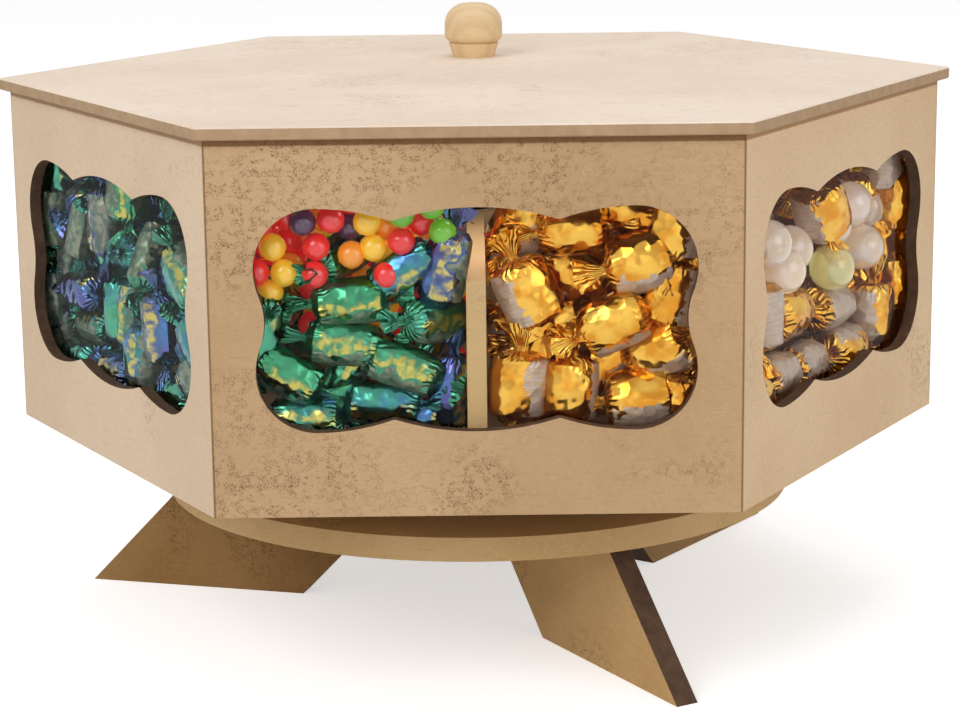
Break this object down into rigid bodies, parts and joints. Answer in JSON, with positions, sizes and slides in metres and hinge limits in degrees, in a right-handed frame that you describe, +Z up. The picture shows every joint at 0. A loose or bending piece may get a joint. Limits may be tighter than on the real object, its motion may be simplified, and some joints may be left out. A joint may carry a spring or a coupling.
{
  "type": "rotating candy holder",
  "caption": "Hexagonal wooden candy box with scalloped windows, inner dividers and a lift-off lid with turned knob, on a ball-bearing turntable above splayed board legs.",
  "frame": {"origin": "on the surface that the legs stand on, under the turning axis", "axes": "+Z up along the turning axis; the front panel faces -Y; two corners of the box and lid lie on the X axis"},
  "size_m": [0.5, 0.433, 0.3128],
  "materials": {
    "fibreboard": "raw medium-density fibreboard, laser-cut",
    "leg_fibreboard": "raw fibreboard with dark laser-cut edges",
    "turned_pine": "turned and sanded, unvarnished",
    "clear_acrylic": "clear, polished",
    "ring_aluminium": "turned",
    "bearing_steel": "polished",
    "zinc_steel": "zinc plated",
    "white_nylon": "moulded"
  },
  "bodies": {
    "base": {"support_disc": "fibreboard", "leg_front_right": "leg_fibreboard", "leg_back_right": "leg_fibreboard", "leg_left": "leg_fibreboard", "leg_screws": "zinc_steel", "bearing_outer_ring": "ring_aluminium", "bearing_lower_screws": "zinc_steel"},
    "ball_cage": {"bearing_cage": "white_nylon", "bearing_balls": "bearing_steel"},
    "box": {"bearing_inner_ring": "ring_aluminium", "bearing_upper_screws": "zinc_steel", "spacer_pad": "fibreboard", "box_floor": "fibreboard", "box_floor_screws": "zinc_steel", "panel_front": "fibreboard", "panel_front_right": "fibreboard", "panel_back_right": "fibreboard", "panel_back": "fibreboard", "panel_back_left": "fibreboard", "panel_front_left": "fibreboard", "window_front": "clear_acrylic", "window_front_right": "clear_acrylic", "window_back_right": "clear_acrylic", "window_back": "clear_acrylic", "window_back_left": "clear_acrylic", "window_front_left": "clear_acrylic", "divider_front": "fibreboard", "divider_back_right": "fibreboard", "divider_back_left": "fibreboard"},
    "lid": {"lid_board": "fibreboard", "lid_locating_board": "fibreboard", "lid_knob": "turned_pine", "lid_knob_screw": "zinc_steel"}
  },
  "joints": [
    {"name": "turntable_spin", "type": "hinge", "parent": "base", "child": "box", "pos_m": [0, 0, 0.083], "axis": [0, 0, 1], "continuous": true},
    {"name": "cage_spin", "type": "hinge", "parent": "base", "child": "ball_cage", "pos_m": [0, 0, 0.083], "axis": [0, 0, 1], "continuous": true},
    {"name": "lid_lift", "type": "slide", "parent": "box", "child": "lid", "axis": [0, 0, 1], "range_m": [0, 0.15]}
  ],
  "couplings": [
    {"joint": "cage_spin", "follows": "turntable_spin", "ratio": 0.4786}
  ]
}
